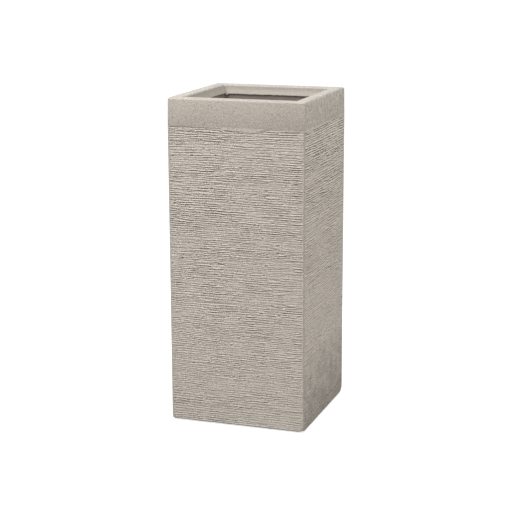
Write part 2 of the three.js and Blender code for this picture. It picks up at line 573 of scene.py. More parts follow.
class Mottle(Effect):
    """Uneven drying of the coat: broad, faint patches."""

    name = "mottle"
    inputs = {"Place": "Vector", "Patch": "Float"}
    outputs = ("Tone",)

    @classmethod
    def wire(cls, wiring: Wiring, given: bpy.types.bpy_prop_collection) -> dict[str, bpy.types.NodeSocket]:
        """Wires the effect and gives its outputs."""
        scale = wiring.math("DIVIDE", 1, given["Patch"])
        patches = wiring.noise(given["Place"], scale, 4)
        return {"Tone": wiring.math("SUBTRACT", patches, 0.5)}


class EdgeRubAndHighlight(Effect):
    """Rubbed upright and top edges of the square body, lightened by wear and by a painted edge highlight.
    """

    name = "edge_rub_and_highlight"
    inputs = {"Place": "Vector", "Half": "Float", "Top": "Float", "Reach": "Float"}
    outputs = ("Mask",)

    @classmethod
    def wire(cls, wiring: Wiring, given: bpy.types.bpy_prop_collection) -> dict[str, bpy.types.NodeSocket]:
        """Wires the effect and gives its outputs."""
        axes = wiring.add("ShaderNodeSeparateXYZ", {0: given["Place"]}).outputs
        across = wiring.math("ABSOLUTE", axes[0])
        along = wiring.math("ABSOLUTE", axes[1])
        near_corner = wiring.math("SUBTRACT", given["Half"], wiring.math("MINIMUM", across, along))
        near_top = wiring.math("SUBTRACT", given["Top"], axes[2])
        outside = wiring.math("SUBTRACT", given["Half"], wiring.math("MAXIMUM", across, along))
        top_edge = wiring.math("ADD", wiring.math("ABSOLUTE", near_top), wiring.math("ABSOLUTE", outside))
        nearest = wiring.math("MINIMUM", near_corner, top_edge)
        share = wiring.math("DIVIDE", nearest, given["Reach"])
        ragged = wiring.math("ADD", share, wiring.noise(given["Place"], 160.0, 3))
        return {"Mask": wiring.span(ragged, 0.5, 1.3, (1, 0))}


class LowGrimeAndShade(Effect):
    """Splash marks and dust, with painted shade, that darken the walls a little way up from the ground."""

    name = "low_grime_and_shade"
    inputs = {"Place": "Vector", "Reach": "Float"}
    outputs = ("Mask",)

    @classmethod
    def wire(cls, wiring: Wiring, given: bpy.types.bpy_prop_collection) -> dict[str, bpy.types.NodeSocket]:
        """Wires the effect and gives its outputs."""
        height = wiring.add("ShaderNodeSeparateXYZ", {0: given["Place"]}).outputs[2]
        share = wiring.math("DIVIDE", height, given["Reach"])
        splashes = wiring.math("MULTIPLY", wiring.noise(given["Place"], 45.0, 5), 1.2)
        return {"Mask": wiring.span(wiring.math("ADD", share, splashes), 0.45, 1.5, (1, 0))}


class FibreMat(Effect):
    """Chopped glass strands that lie crossed under the resin."""

    name = "fibre_mat"
    inputs = {"Place": "Vector", "Strand": "Float"}
    outputs = ("Height",)

    @classmethod
    def wire(cls, wiring: Wiring, given: bpy.types.bpy_prop_collection) -> dict[str, bpy.types.NodeSocket]:
        """Wires the effect and gives its outputs."""
        scale = wiring.math("DIVIDE", 1, given["Strand"])
        stretch = (1, 0.08, 1)
        lays = ((20, 35, 15), (100, -20, 70), (-40, 60, 130), (65, 110, -25))
        height = 0.0
        for degrees in lays:
            turn = tuple(math.radians(angle) for angle in degrees)
            laid = {"Vector": given["Place"], "Rotation": turn, "Scale": stretch}
            strands = wiring.noise(wiring.add("ShaderNodeMapping", laid).outputs[0], scale, 1)
            height = wiring.math("MAXIMUM", wiring.span(strands, 0.52, 0.66), height)
        return {"Height": height}


def object_place(wiring: Wiring) -> bpy.types.NodeSocket:
    """Gives the surface's place in the object's own coordinates."""
    return wiring.add("ShaderNodeTexCoord").outputs["Object"]


def end_material(name: str, color: object, surface: dict, wiring: Wiring) -> None:
    """Ends a material in its shader.

    Args:
        name: The material's name, for its log line.
        color: The base colour's socket.
        surface: The shader's other inputs.
        wiring: The material's wiring.
    """
    shader = wiring.add("ShaderNodeBsdfPrincipled", {"Base Color": color, **surface})
    wiring.add("ShaderNodeOutputMaterial", {"Surface": shader.outputs[0]})
    log.info("material %s: %d nodes", name, len(wiring.tree.nodes))


def start_material(name: str) -> tuple[bpy.types.Material, Wiring]:
    """Makes an empty material and the wiring of its tree."""
    material = bpy.data.materials.new(name)
    material.use_nodes = True
    material.node_tree.nodes.clear()
    return material, Wiring(material.node_tree)


@dataclass(frozen=True)
class SandCoat:
    """The sanded stone-coloured coat.

    Attributes:
        color: Its colour.
        rub_and_highlight_color: Its colour where the edges are rubbed and carry a painted highlight.
        grime_and_shade_color: Its colour where grime and painted shade darken it near the ground.
        glint_color: The colour of its bright sand grains.
        grain: Size of a grain.
        grain_tone: How much lighter and darker grains make the colour.
        roughness: How matt it is.
        groove_shade_and_wear: Painted shade in grooves and highlight on ridges, with dirt and wear; 0 where
            not combed.
        glints: Share of bright grains and painted glints.
        glint: Size of a bright grain and painted glint.
        relief: Height of the grains.
        patch: Width of the patches that dried unevenly.
        rub_and_highlight_reach: How far from an edge the coat is rubbed and lightened.
        grime_and_shade: How far grime and painted shade darken the lowest part, from 0 to 1.
        grime_and_shade_reach: How far up that darkening rises.
    """

    color: Color
    rub_and_highlight_color: Color = (0.50, 0.46, 0.41)
    grime_and_shade_color: Color = (0.26, 0.235, 0.205)
    glint_color: Color = (0.74, 0.72, 0.68)
    grain: float = 1.2 * MM
    grain_tone: float = 1.3
    roughness: float = 0.92
    groove_shade_and_wear: float = 0.0
    glints: float = 0.0
    glint: float = 1.8 * MM
    relief: float = 0.85 * MM
    patch: float = 70 * MM
    rub_and_highlight_reach: float = 2.5 * MM
    grime_and_shade: float = 0.15
    grime_and_shade_reach: float = 260 * MM

    def build(self, name: str, half: float, top: float) -> bpy.types.Material:
        """Builds the material.

        Args:
            name: The material's name.
            half: Half the planter's width.
            top: Height of the rim.

        Returns:
            The material.
        """
        material, wiring = start_material(name)
        place = object_place(wiring)
        grain = SandGrain.place(wiring, Place=place, Size=self.grain)
        patches = Mottle.place(wiring, Place=place, Patch=self.patch)
        rub_and_highlight = EdgeRubAndHighlight.place(wiring, Place=place, Half=half, Top=top, Reach=self.rub_and_highlight_reach)
        grime_and_shade = LowGrimeAndShade.place(wiring, Place=place, Reach=self.grime_and_shade_reach)
        # Lighter along the edges: wear, and a painted highlight.
        color = wiring.blend(wiring.math("MULTIPLY", rub_and_highlight["Mask"], 0.5), self.color, self.rub_and_highlight_color)
        # Darker towards the bottom: grime, and painted shade near the floor.
        color = wiring.blend(wiring.math("MULTIPLY", grime_and_shade["Mask"], self.grime_and_shade), color, self.grime_and_shade_color)
        # Bright sand grains, which also stand in as painted glints.
        if self.glints:
            sparkle = wiring.noise(place, 1 / self.glint, 1)
            bright = wiring.span(sparkle, 1 - self.glints, 1 - self.glints + 0.05)
            color = wiring.blend(bright, color, self.glint_color)
        tone = wiring.math("MULTIPLY", grain["Tone"], self.grain_tone)
        tone = wiring.math("ADD", tone, wiring.math("MULTIPLY", patches["Tone"], 0.12))
        # Painted shade in the comb's grooves and painted highlight on its ridges, with some dirt and wear.
        if self.groove_shade_and_wear:
            marks = wiring.add("ShaderNodeAttribute", attribute_name=COMB_ATTRIBUTE)
            tone = wiring.math("ADD", tone, wiring.math("MULTIPLY", marks.outputs["Fac"], self.groove_shade_and_wear))
        tone = wiring.math("SUBTRACT", tone, wiring.math("MULTIPLY", grain["Pinhole"], 0.25))
        relief = wiring.relief(grain["Height"], self.relief)
        rough = wiring.span(grain["Tone"], -0.4, 0.4, (self.roughness - 0.06, self.roughness + 0.06))
        surface = {"Roughness": rough, "Normal": relief, "Specular IOR Level": 0.3}
        end_material(name, wiring.shade(color, tone), surface, wiring)
        return material


@dataclass(frozen=True)
class RawLaminate:
    """Glass-fibre laminate without its coat.

    Attributes:
        color: Its colour.
        strand_color: The colour of strands near the surface.
        speck_color: The colour of coat that spattered on it.
        strand: Width of a strand.
        roughness: How matt the resin is.
        specks: Share of such spatters.
    """

    color: Color = (0.150, 0.129, 0.108)
    strand_color: Color = (0.235, 0.21, 0.18)
    speck_color: Color = (0.48, 0.44, 0.39)
    strand: float = 2.2 * MM
    roughness: float = 0.55
    specks: float = 0.0

    def build(self, name: str) -> bpy.types.Material:
        """Builds the material."""
        material, wiring = start_material(name)
        place = object_place(wiring)
        mat = FibreMat.place(wiring, Place=place, Strand=self.strand)
        patches = Mottle.place(wiring, Place=place, Patch=45 * MM)
        grain = SandGrain.place(wiring, Place=place, Size=0.8 * MM)
        color = wiring.blend(wiring.math("MULTIPLY", mat["Height"], 0.7), self.color, self.strand_color)
        if self.specks:
            spatter = wiring.span(wiring.noise(place, 1 / (2 * MM), 1), 1 - self.specks, 1.05 - self.specks)
            color = wiring.blend(spatter, color, self.speck_color)
        tone = wiring.math("MULTIPLY", patches["Tone"], 0.5)
        tone = wiring.math("ADD", tone, wiring.math("MULTIPLY", grain["Tone"], 0.15))
        height = wiring.math("ADD", mat["Height"], wiring.math("MULTIPLY", grain["Height"], 0.2))
        rough = wiring.span(patches["Tone"], -0.3, 0.3, (self.roughness - 0.12, self.roughness + 0.15))
        relief = wiring.relief(height, 0.3 * MM)
        surface = {"Roughness": rough, "Normal": relief, "Specular IOR Level": 0.4}
        end_material(name, wiring.shade(color, tone), surface, wiring)
        return material


@dataclass(frozen=True)
class Putty:
    """The hand-smoothed sealant.

    Attributes:
        color: Its colour.
        roughness: How matt it is.
    """

    color: Color = (0.262, 0.235, 0.198)
    roughness: float = 0.62

    def build(self, name: str) -> bpy.types.Material:
        """Builds the material."""
        material, wiring = start_material(name)
        place = object_place(wiring)
        patches = Mottle.place(wiring, Place=place, Patch=12 * MM)
        grain = SandGrain.place(wiring, Place=place, Size=1.5 * MM)
        tone = wiring.math("MULTIPLY", patches["Tone"], 0.35)
        tone = wiring.math("ADD", tone, wiring.math("MULTIPLY", grain["Tone"], 0.08))
        height = wiring.math("ADD", patches["Tone"], wiring.math("MULTIPLY", grain["Height"], 0.08))
        rough = wiring.span(patches["Tone"], -0.3, 0.3, (self.roughness - 0.1, self.roughness + 0.1))
        surface = {"Roughness": rough, "Normal": wiring.relief(height, 0.5 * MM)}
        end_material(name, wiring.shade(self.color, tone), surface, wiring)
        return material


@dataclass(frozen=True)
class Rubber:
    """Moulded black rubber with a little dust.

    Attributes:
        color: Its colour.
        dust_color: The colour of the dust on it.
        roughness: How matt it is.
    """

    color: Color = (0.02, 0.02, 0.023)
    dust_color: Color = (0.12, 0.105, 0.09)
    roughness: float = 0.7

    def build(self, name: str) -> bpy.types.Material:
        """Builds the material."""
        material, wiring = start_material(name)
        place = object_place(wiring)
        patches = Mottle.place(wiring, Place=place, Patch=14 * MM)
        grain = SandGrain.place(wiring, Place=place, Size=0.5 * MM)
        facing = wiring.add("ShaderNodeNewGeometry").outputs["Normal"]
        facing_up = wiring.add("ShaderNodeSeparateXYZ", {0: facing}).outputs[2]
        settled = wiring.span(facing_up, 0.2, 1.0, (0.05, 0.45))
        dust = wiring.math("MULTIPLY", settled, wiring.span(patches["Tone"], -0.2, 0.25, (0.3, 1)))
        color = wiring.blend(dust, self.color, self.dust_color)
        tone = wiring.math("MULTIPLY", grain["Tone"], 0.2)
        rough = wiring.span(patches["Tone"], -0.3, 0.3, (self.roughness - 0.1, self.roughness + 0.15))
        surface = {"Roughness": rough, "Normal": wiring.relief(grain["Height"], 0.06 * MM)}
        end_material(name, wiring.shade(color, tone), surface, wiring)
        return material


@dataclass(frozen=True)
class Finishes:
    """All the materials of the planter.

    Attributes:
        half: Half the planter's width.
        top: Height of the rim.
        made: The materials, by name.
    """

    half: float
    top: float
    made: dict[str, bpy.types.Material] = field(default_factory=dict)

    def build(self) -> None:
        """Builds every material once."""
        coats = {
            "smooth": SandCoat(color=(0.405, 0.367, 0.321)),
            # The band's side faces have a lighter copy of the coat with stronger grain: painted light, and
            # painted relief shading as under raking light.
            "smooth_side_painted_light": SandCoat(color=(0.42, 0.381, 0.333), grain=2.2 * MM, grain_tone=1.9),
            "combed": SandCoat(color=(0.51, 0.466, 0.412), groove_shade_and_wear=1.05, grime_and_shade=0.12),
            # The side walls' copy darkens far more towards the bottom: painted shade, with a little grime.
            "combed_side_painted_shade": SandCoat(color=(0.51, 0.466, 0.412), groove_shade_and_wear=1.05, grime_and_shade=0.85),
            # The rim's top has its own darker, cooler copy of the coat: painted shade against the stronger
            # light from above, with painted glints.
            "rim": SandCoat(color=(0.325, 0.307, 0.279), glints=0.34),
            # The lip's face has its own lighter copy of the coat: painted light, as less light reaches the
            # mouth.
            "lip": SandCoat(color=(0.49, 0.448, 0.395), grain_tone=0.45, relief=0.3 * MM),
        }
        for name, coat in coats.items():
            self.made[name] = coat.build(f"{name}_sand_coat", self.half, self.top)
        primed = RawLaminate(color=(0.232, 0.197, 0.166), strand_color=(0.255, 0.22, 0.187), specks=0.33)
        self.made["primed"] = primed.build("primed_laminate")
        self.made["laminate"] = RawLaminate().build("fibre_laminate")
        self.made["putty"] = Putty().build("sealing_putty")
        self.made["rubber"] = Rubber().build("moulded_rubber")


# ---- Sub-assemblies ----


@dataclass(frozen=True)
class Tips:
    """How the outside's eight corners are rounded beyond their edges.

    Attributes:
        half: Half the outside width.
        low: Height of the lower edge.
        high: Height of the rim.
        high_reach: How far from an upper corner its rounding starts.
        high_depth: How far that corner is rounded off, along each axis.
        low_reach: How far from a lower corner its rounding starts.
        low_depth: How far that corner is rounded off.
        crisp: The share of that at the front left, where the lower corner is crisper.
    """

    half: float
    low: float
    high: float
    high_reach: float = 8 * MM
    high_depth: float = 1.2 * MM
    low_reach: float = 13 * MM
    low_depth: float = 1.9 * MM
    crisp: float = 0.25

    def blunt(self, piece: bpy.types.Object) -> None:
        """Rounds the corners that a piece has a share in."""
        spots = places(piece)
        ends = self.half - np.abs(spots[:, :2])
        upper = (self.high, self.high_reach, self.high_depth)
        lower = (self.low, self.low_reach, -self.low_depth)
        is_crisp = (spots[:, 0] < 0) & (spots[:, 1] < 0) & (spots[:, 2] < (self.low + self.high) / 2)
        for level, reach, depth in (upper, lower):
            apart = np.linalg.norm(np.column_stack([ends, spots[:, 2] - level]), axis=1)
            amount = ease(reach - apart, 0, reach) * np.where(is_crisp, self.crisp, 1)
            if amount.any():
                press(piece, amount, depth, "Z")
                for axis, side in ((0, 1), (0, -1), (1, 1), (1, -1)):
                    is_side = spots[:, axis] * side > 0
                    press(piece, amount * is_side, side * abs(depth), "XYZ"[axis])


@dataclass(frozen=True)
class Comb:
    """How the comb was drawn over the wet coat.

    Attributes:
        depth: The deepest mark.
        cut: Depth of a firm groove.
        pitch: Mean distance between grooves.
        pitch_spread: How much that distance varies.
        run: Median length of a groove.
        run_spread: Spread of the logarithm of that length.
        gap: Mean distance between grooves in line.
        half_width: Half a groove's width.
        burr: Height of the burr beside a groove, as a share of its depth.
        run_limits: Its shortest and longest.
        overlap: How far a groove may start back in the one before it.
        jitter: How far a groove lies off its line.
        slant: How far it rises along its length, as a share of that.
        stray_share: The share of grooves that slant more.
        stray_slant: How much those may slant.
        wander: How far the grooves stray from level, all together.
        wander_cell: Height and width of the places that stray alike.
        wobble: How far each groove strays from its own line.
        wobble_run: Length over which it strays one way.
        chatter_run: Length over which the comb's tooth bites evenly.
        force: How firmly the comb is held.
        force_spread: How much that varies.
        force_cell: Height and width of the places where it is alike.
        low_force: The share of that at the foot of the wall.
        easing_height: Height over which the comb is held ever more firmly.
        ripple: Height of the coat's long ripples.
        ripple_cell: Their height and length.
        grit: Height of the coat's lumps.
        grit_cell: Their height and length.
        level: How far the plain coat lies below the smooth strips.
        even: The share of the depth at which the coat keeps its plain colour.
        side_fade: Width over which the marks end beside the upright edges.
        side_cell: Height over which that width is alike.
        top_fade: Height over which they end under the band.
        top_cell: Width over which that height is alike.
        end_fade: Height over which they end at the field's own border.
        pits: Pits in one wall.
        pit_depth: Depth of a pit.
    """

    depth: float = 2.7 * MM
    cut: float = 2.1 * MM
    pitch: float = 4.45 * MM
    pitch_spread: float = 0.8 * MM
    run: float = 30 * MM
    run_spread: float = 0.6
    gap: float = 4 * MM
    half_width: float = 1.0 * MM
    burr: float = 0.45
    run_limits: Point = (7 * MM, 110 * MM)
    overlap: float = 4 * MM
    jitter: float = 0.35 * MM
    slant: float = 0.012
    stray_share: float = 0.12
    stray_slant: float = 0.09
    wander: float = 1.5 * MM
    wander_cell: Point = (50 * MM, 90 * MM)
    wobble: float = 0.4 * MM
    wobble_run: float = 9 * MM
    chatter_run: float = 4 * MM
    force: float = 0.85
    force_spread: float = 0.4
    force_cell: Point = (20 * MM, 50 * MM)
    low_force: float = 0.78
    easing_height: float = 450 * MM
    ripple: float = 0.2 * MM
    ripple_cell: Point = (2.2 * MM, 20 * MM)
    grit: float = 0.3 * MM
    grit_cell: Point = (2.5 * MM, 6 * MM)
    level: float = 0.75 * MM
    even: float = 0.33
    side_fade: float = 1.5 * MM
    side_cell: float = 5 * MM
    top_fade: float = 8 * MM
    top_cell: float = 35 * MM
    end_fade: float = 2 * MM
    pits: int = 120
    pit_depth: float = 1.3 * MM

    def marks(
        self, width: float, height: float, shape: tuple[int, int], seed: int, firmness: float
    ) -> tuple[np.ndarray, np.ndarray]:
        """Works out how deep the coat is marked, and how light that leaves it.

        Args:
            width: The combed field's width.
            height: Its height.
            shape: Rows and columns of its vertices, from its lower left corner.
            seed: The wall's own number.
            firmness: How firmly the comb was held against this wall.

        Returns:
            Depth at each vertex, from 0 level with the strips to 1 at the full depth, and the painted shade
            and highlight, with dirt and wear, that go with it: above 0 on ridges and below 0 in grooves.
        """
        rng = np.random.default_rng(seed)
        up = np.linspace(0, height, shape[0])
        across = np.linspace(0, width, shape[1])

        def varied(cell: Point) -> np.ndarray:
            """Makes values from -1 to 1 that change over cells of a height and width."""
            return drift(rng, shape, (round(height / cell[0]), round(width / cell[1])))

        sway = self.wander * varied(self.wander_cell)
        force = np.clip(self.force + self.force_spread * varied(self.force_cell), 0.3, 1.1)
        relief = self.ripple * varied(self.ripple_cell)
        relief += self.grit * varied(self.grit_cell)
        center = 0.5 * self.pitch
        while center < height:
            self.draw_line(rng, relief, up, across, sway, center)
            center += max(0.4 * self.pitch, rng.normal(self.pitch, self.pitch_spread))
        easing = self.low_force + (1 - self.low_force) * ease(up, 0, self.easing_height)
        relief *= force * firmness * easing[:, None]
        self.dig_pits(rng, relief, up, across)
        ragged = 0.5 + 0.5 * drift(rng, shape, (round(height / self.side_cell), 1))
        edge = np.minimum(across, width - across)[None, :] / (self.side_fade * (0.35 + 0.65 * ragged))
        start = self.top_fade * (0.5 + 0.5 * drift(rng, (1, shape[1]), (1, round(width / self.top_cell))))
        fade = ease(edge, 0.15, 1) * ease(height - up, 0, 0.75 * self.end_fade)[:, None]
        fade *= ease((height - up)[:, None] - start, 0, self.end_fade) * ease(up, 0, self.end_fade)[:, None]
        depth = np.clip((self.level - relief) / self.depth, 0, 1)
        return depth * fade, (self.even - depth) * fade

    def draw_line(
        self,
        rng: np.random.Generator,
        relief: np.ndarray,
        up: np.ndarray,
        across: np.ndarray,
        sway: np.ndarray,
        center: float,
    ) -> None:
        """Draws one line of grooves from left to right into the relief.

        Args:
            rng: The seeded source.
            relief: Heights that are changed, in metres.
            up: Heights of the rows.
            across: Places of the columns.
            sway: How far every place is shifted up.
            center: The line's height.
        """
        start = -rng.uniform(0, self.run)
        while start < across[-1]:
            length = float(np.clip(rng.lognormal(math.log(self.run), self.run_spread), *self.run_limits))
            slant = rng.normal(0, self.slant)
            slant += (rng.random() < self.stray_share) * rng.uniform(-self.stray_slant, self.stray_slant)
            height = center + rng.normal(0, self.jitter)
            strength = float(np.clip(rng.normal(0.8, 0.22), 0.3, 1.15))
            half_width = self.half_width * rng.uniform(0.85, 1.2)
            chatter = rng.uniform(0.45, 1, max(3, int(length / self.chatter_run)))
            bends = rng.normal(0, self.wobble, max(3, int(length / self.wobble_run)))
            columns = np.flatnonzero((across > start) & (across < start + length))
            if len(columns) > 1:
                share = (across[columns] - start) / length
                middle = height + slant * (across[columns] - start - length / 2)
                middle = middle + np.interp(share, np.linspace(0, 1, len(bends)), bends)
                near = np.searchsorted(up, height)
                middle = middle + sway[min(near, len(up) - 1), columns]
                rows = np.flatnonzero(np.abs(up - height) < 5 * self.half_width)
                apart = (up[rows, None] - middle[None, :]) / half_width
                grip = ease(share, 0, 0.12) * ease(1 - share, 0, 0.12)
                grip *= np.interp(share, np.linspace(0, 1, len(chatter)), chatter)
                worn = np.exp(-((apart / 1.8) ** 2)) * grip
                groove = -np.exp(-(apart**2)) + self.burr * np.exp(-(((np.abs(apart) - 1.75) / 0.7) ** 2))
                cut = groove * grip * strength * self.cut
                relief[np.ix_(rows, columns)] = relief[np.ix_(rows, columns)] * (1 - 0.7 * worn) + cut
            start += length + rng.exponential(self.gap) - self.overlap

    def dig_pits(
        self, rng: np.random.Generator, relief: np.ndarray, up: np.ndarray, across: np.ndarray
    ) -> None:
        """Digs small pits with raised lips into the relief.

        Args:
            rng: The seeded source.
            relief: Heights that are changed, in metres.
            up: Heights of the rows.
            across: Places of the columns.
        """
        for _ in range(self.pits):
            height, place = rng.uniform(0, up[-1]), rng.uniform(0, across[-1])
            radius = rng.uniform(1.1, 2.2) * MM
            long = radius * rng.uniform(1, 2.2)
            rows = np.flatnonzero(np.abs(up - height) < 4 * radius)
            columns = np.flatnonzero(np.abs(across - place) < 4 * long)
            apart = np.hypot((up[rows, None] - height) / radius, (across[None, columns] - place) / long)
            pit = -np.exp(-(apart**2)) + 0.45 * np.exp(-(((apart - 1.6) / 0.5) ** 2))
            relief[np.ix_(rows, columns)] += pit * rng.uniform(0.5, 1.0) * self.pit_depth


@dataclass
class OuterShell:
    """The moulded walls: a smooth skin with a combed field set into each side.

    Attributes:
        finishes: The materials.
        tips: How the outside's corners are rounded.
        comb: How the fields are combed.
        wall: Thickness of the walls.
        corner_radius: Radius of the upright edges.
        corner_steps: Faces round each upright edge.
        top_radius: Radius of the top edge.
        bottom_radius: Radius of the lower edge.
        edge_steps: Faces round each of those.
        band: Height of the smooth band.
        band_ragged: How far the combing may reach up into the band.
        strip: Flat strip between an upright edge's rounding and the field.
        rebate: Depth of the step that the rim's flange lies in.
        slab: Thickness of a combed field.
        slab_gap: Gap behind it.
        row: Height of the field's faces.
        column: Width of the field's faces.
        side_firmness: How much more firmly the side walls are combed.
        wear: How far the upright edges are worn in.
        ragged: How far the lower edge wanders up.
        lower_cuts: Cuts along each side of the lower edge.
        upright_cuts: Cuts along each upright edge.
    """

    finishes: Finishes
    tips: Tips
    comb: Comb = field(default_factory=Comb)
    wall: float = 5 * MM
    corner_radius: float = 2.2 * MM
    corner_steps: int = 6
    top_radius: float = 3 * MM
    bottom_radius: float = 4 * MM
    edge_steps: int = 5
    band: float = 61 * MM
    band_ragged: float = 4 * MM
    strip: float = 0.5 * MM
    rebate: float = 1 * MM
    slab: float = 3.5 * MM
    slab_gap: float = 0.3 * MM
    row: float = 0.74 * MM
    column: float = 2.9 * MM
    side_firmness: float = 1.75
    wear: float = 0.4 * MM
    ragged: float = 1.2 * MM
    lower_cuts: int = 90
    upright_cuts: int = 240

    def __post_init__(self) -> None:
        """Takes the walls' place from the frame."""
        low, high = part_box("outer_shell")
        self.half = high.x
        self.bottom = low.z
        self.top = high.z
        self.field_low = self.bottom + self.bottom_radius
        self.field_high = self.top - self.band + self.band_ragged

    @property
    def plan(self) -> Plan:
        """The outside plan."""
        return Plan(self.half, self.corner_radius, self.corner_steps)

    def build(self) -> None:
        """Builds the skin and its four fields."""
        self.build_skin()
        for side in Side:
            self.build_field(side)

    def build_skin(self) -> None:
        """Builds the smooth walls, with a recess for each combed field."""
        steps = self.edge_steps
        bottom_arc = arc((self.bottom_radius, self.field_low), self.bottom_radius, -90, 0, steps)
        top_arc = arc((self.top_radius, self.top - self.top_radius), self.top_radius, 0, 90, steps)
        section = [
            (self.wall, self.bottom),
            *bottom_arc,
            (0, self.field_high),
            *top_arc,
            (self.top_radius, self.top - self.rebate),
            (self.wall, self.top - self.rebate),
        ]
        skin = self.plan.sweep("shell_skin", section, is_hoop=True)
        self.cut_lower_edge(skin)
        self.cut_recesses(skin)
        subdivide(skin, edge_runs(skin)[:, 2] > 0.5 * (self.top - self.bottom), self.upright_cuts)
        self.wear_edges(skin)
        lower = ease(self.field_low - places(skin)[:, 2], 0, self.bottom_radius)
        press(skin, lower * wander(places(skin), 6, 60, 190), -self.ragged, "Z")
        self.tips.blunt(skin)
        middles = face_values(skin, "center")
        normals = face_values(skin, "normal")
        is_under = (normals[:, 2] < -0.95) & (middles[:, 2] < self.field_low)
        is_inside = (insets(middles, self.half) > self.wall - NEAR) | is_under
        is_side = ~is_inside & (np.abs(normals[:, 0]) > 0.9)
        skin.data.polygons.foreach_set("material_index", is_inside + 2 * is_side)
        smooth(skin)
        materials = [self.finishes.made[name] for name in ("smooth", "laminate", "smooth_side_painted_light")]
        finish_piece(skin, materials, Body.PLANTER, ["outer_shell"])

    def cut_lower_edge(self, skin: bpy.types.Object) -> None:
        """Cuts the lower edge and the rounding above it into short lengths."""
        is_long = edge_runs(skin)[:, :2].max(axis=1) > self.half
        is_low = (places(skin)[edge_ends(skin)][:, :, 2] < self.field_low + NEAR).all(axis=1)
        subdivide(skin, is_long & is_low, self.lower_cuts)

    def cut_recesses(self, skin: bpy.types.Object) -> None:
        """Sinks the flat of each side, where its combed field goes."""
        middles = face_values(skin, "center")
        is_outside = insets(middles, self.half) < NEAR
        is_field = is_outside & (middles[:, 2] > self.field_low) & (middles[:, 2] < self.field_high)
        is_flat = np.abs(face_values(skin, "normal")[:, :2]).max(axis=1) > 0.999
        with shaping(skin, Domain.FACES, is_field & is_flat):
            bpy.ops.mesh.inset(thickness=self.strip, depth=0, use_individual=True)
            bpy.ops.mesh.extrude_region_shrink_fatten(TRANSFORM_OT_shrink_fatten={"value": -self.slab})

    def wear_edges(self, skin: bpy.types.Object) -> None:
        """Roughens the upright edges a little below the band, but not the fields' borders."""
        spots = places(skin)
        near = np.sort(self.half - np.abs(spots[:, :2]), axis=1)
        rng = np.random.default_rng(5)
        steps = 2000
        lumps = drift(rng, (steps, 4), (260, 3)) * 0.5 + drift(rng, (steps, 4), (90, 3)) * 0.5
        rank = np.clip((spots[:, 2] / self.top * (steps - 1)).astype(int), 0, steps - 1)
        corner = (spots[:, 0] > 0).astype(int) + 2 * (spots[:, 1] > 0).astype(int)
        amount = np.clip(0.4 + 0.6 * lumps[rank, corner], 0, 1)
        on_corner = ease(self.corner_radius - near[:, 1], 0, 1.2 * MM) * (near[:, 0] < self.corner_radius)
        below_band = ease(self.top - spots[:, 2], 4 * MM, 15 * MM)
        press(skin, amount * on_corner * below_band, self.wear)

    def build_field(self, side: Side) -> None:
        """Builds one combed field, flush with the skin at its borders.

        Args:
            side: The wall that it is on.
        """
        width = 2 * (self.half - self.corner_radius - self.strip)
        low, high = self.field_low + self.strip, self.field_high - self.strip
        columns, rows = round(width / self.column), round((high - low) / self.row)
        bpy.ops.object.select_all(action="DESELECT")
        bpy.ops.mesh.primitive_grid_add(
            x_subdivisions=columns,
            y_subdivisions=rows,
            size=1,
            location=(0, -self.half, (low + high) / 2),
            rotation=(math.pi / 2, 0, 0),
        )
        slab = bpy.context.view_layer.objects.active
        slab.scale = (width, high - low, 1)
        slab = adopt(f"combed_coat_{side.name.lower()}")
        firmness, finish = 1.0, "combed"
        # The side walls are combed more firmly and take the copy with painted shade low down.
        if side in (Side.LEFT, Side.RIGHT):
            firmness, finish = self.side_firmness, "combed_side_painted_shade"
        grid = (rows + 1, columns + 1)
        depth, light = self.comb.marks(width, high - low, grid, 11 + side.value, firmness)
        spots = places(slab)
        column = np.rint((spots[:, 0] / width + 0.5) * columns).astype(int)
        row = np.rint((spots[:, 2] - low) / (high - low) * rows).astype(int)
        press(slab, depth[row, column], self.comb.depth)
        # The painted shade and highlight of the comb's marks, for the combed coats.
        marks = slab.data.attributes.new(COMB_ATTRIBUTE, "FLOAT", "POINT")
        marks.data.foreach_set("value", light[row, column])
        self.back_up(slab)
        slab.rotation_euler = (0, 0, side.turn)
        hold(slab)
        bpy.ops.object.transform_apply(location=False, rotation=True, scale=False)
        self.tips.blunt(slab)
        smooth(slab, 60)
        finish_piece(slab, [self.finishes.made[finish]], Body.PLANTER, ["outer_shell"])

    def back_up(self, slab: bpy.types.Object) -> None:
        """Closes a field's sheet into a slab that fills its recess."""
        back = {"value": (0, self.slab - self.slab_gap, 0)}
        with shaping(slab, Domain.VERTICES, np.zeros(len(slab.data.vertices), bool)):
            bpy.ops.mesh.select_mode(type="EDGE")
            bpy.ops.mesh.select_non_manifold()
            bpy.ops.mesh.extrude_edges_move(TRANSFORM_OT_translate=back)
            bpy.ops.mesh.edge_face_add()
        is_behind = places(slab)[:, 1] > -self.half + self.slab - 2 * self.slab_gap
        ends = edge_ends(slab)
        with shaping(slab, Domain.EDGES, is_behind[ends].any(axis=1)):
            bpy.ops.mesh.dissolve_limited(angle_limit=math.radians(1))
        with shaping(slab, Domain.FACES):
            bpy.ops.mesh.normals_make_consistent(inside=False)


